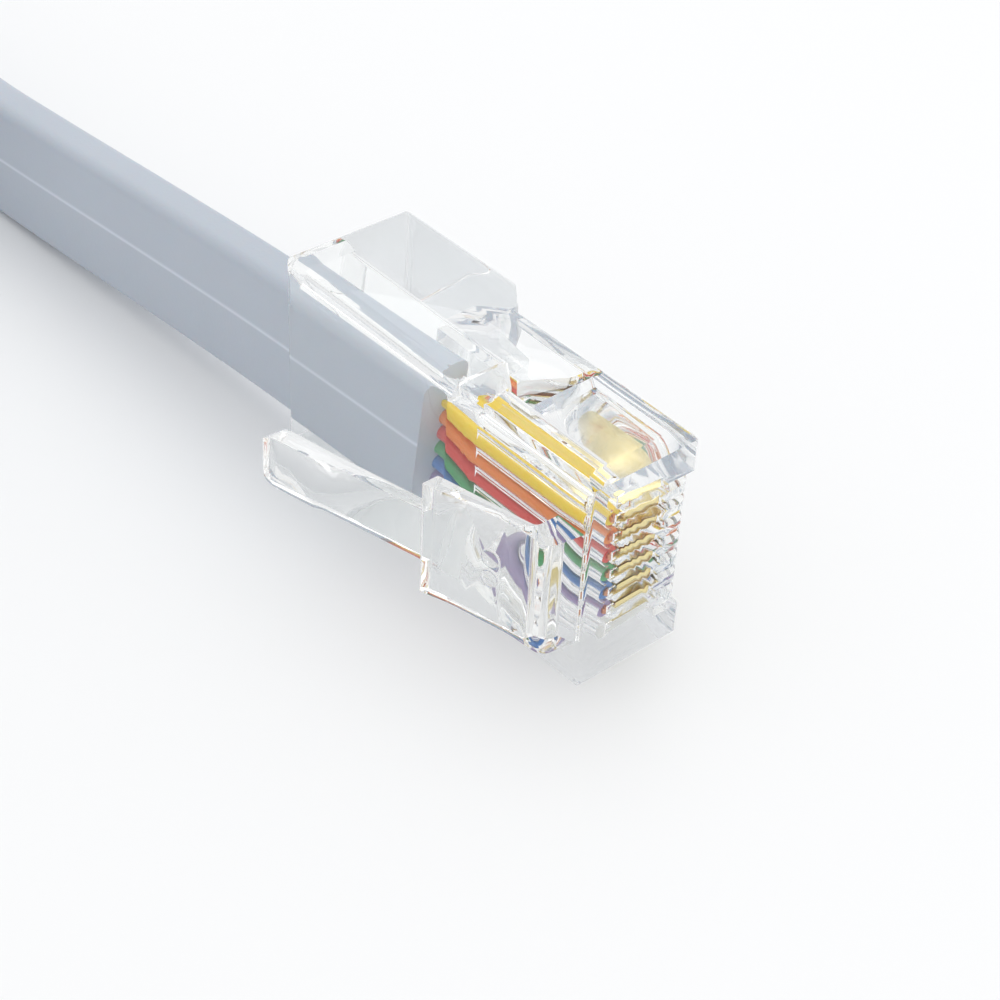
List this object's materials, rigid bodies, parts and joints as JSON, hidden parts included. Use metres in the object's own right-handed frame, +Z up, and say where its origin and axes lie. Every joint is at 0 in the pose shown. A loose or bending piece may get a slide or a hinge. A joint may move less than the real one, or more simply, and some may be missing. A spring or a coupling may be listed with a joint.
{
  "type": "modular plug to serial connector adapter cable",
  "caption": "Clear modular plug crimped on a flat grey cable, coiled and tied, with a moulded serial connector at the far end.",
  "frame": {"origin": "on the resting surface, under the middle of the modular plug's box, latch included", "axes": "+X is the way the plug goes into its socket, -Y is its latch side, +Z is up, with the plug lying on one narrow side"},
  "size_m": [0.1392, 0.1145, 0.0154],
  "materials": {
    "clear_plastic": "clear water-white polycarbonate, polished by the mould",
    "gold_plate": "gold flash over nickel, bright",
    "cable_jacket": "satin blue-grey soft PVC",
    "tie_strap": "black hook-and-loop strap",
    "hood_plastic": "fine-grained moulded blue-grey PVC",
    "nickel_plate": "bright nickel over steel",
    "insert_plastic": "black glass-filled plastic",
    "wire_yellow": "yellow extruded insulation",
    "wire_orange": "orange extruded insulation",
    "wire_red": "red extruded insulation",
    "wire_green": "green extruded insulation",
    "wire_blue": "blue extruded insulation",
    "wire_violet": "violet extruded insulation"
  },
  "bodies": {
    "root": {"plug_housing": "clear_plastic", "contact_2": "gold_plate", "wire_2": "wire_yellow", "contact_3": "gold_plate", "wire_3": "wire_orange", "contact_4": "gold_plate", "wire_4": "wire_red", "contact_5": "gold_plate", "wire_5": "wire_green", "contact_6": "gold_plate", "wire_6": "wire_blue", "contact_7": "gold_plate", "wire_7": "wire_violet", "cable_run": "cable_jacket", "cable_coil": "cable_jacket", "cable_tail": "cable_jacket", "coil_tie": "tie_strap", "connector_hood": "hood_plastic", "connector_shell": "nickel_plate", "connector_insert": "insert_plastic", "jack_nut_1": "nickel_plate", "jack_nut_2": "nickel_plate"}
  },
  "joints": []
}
